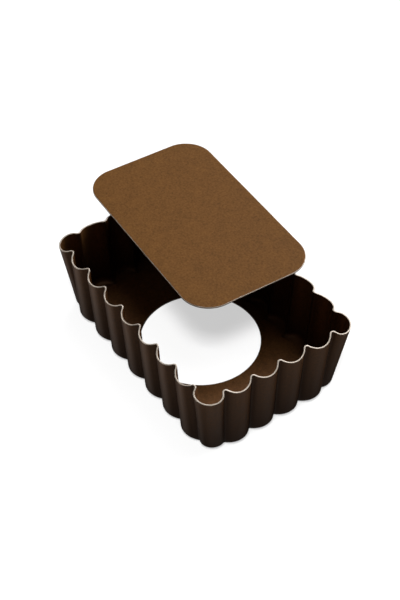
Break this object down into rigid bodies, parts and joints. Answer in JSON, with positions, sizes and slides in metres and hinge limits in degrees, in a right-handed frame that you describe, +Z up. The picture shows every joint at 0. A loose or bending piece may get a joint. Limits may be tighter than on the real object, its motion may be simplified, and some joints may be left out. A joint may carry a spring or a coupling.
{
  "type": "fluted tart pan",
  "caption": "Small rectangular tart pan with fluted walls and a round push-up hole, its flat loose bottom lying across the rim.",
  "frame": {"origin": "on the ground under the middle of the whole arrangement, the pan and the loose bottom that overhangs one corner of it", "axes": "+Z up, +X along the long sides, away from the corner that the loose bottom overhangs, +Y towards the long side that it overhangs"},
  "size_m": [0.1192, 0.077, 0.0327],
  "materials": {
    "shell_coating": "dark brown non-stick coating on pressed steel, satin, bare bright steel at the cut edges",
    "plate_coating": "brown non-stick coating on steel, matt with a fine speckle, bare bright steel at the cut edge"
  },
  "bodies": {
    "pan": {"shell": "shell_coating"},
    "bottom": {"loose_bottom": "plate_coating"}
  },
  "joints": [
    {"name": "bottom_lift", "type": "slide", "parent": "pan", "child": "bottom", "axis": [0, 0, 1], "range_m": [0, 0.06]}
  ]
}
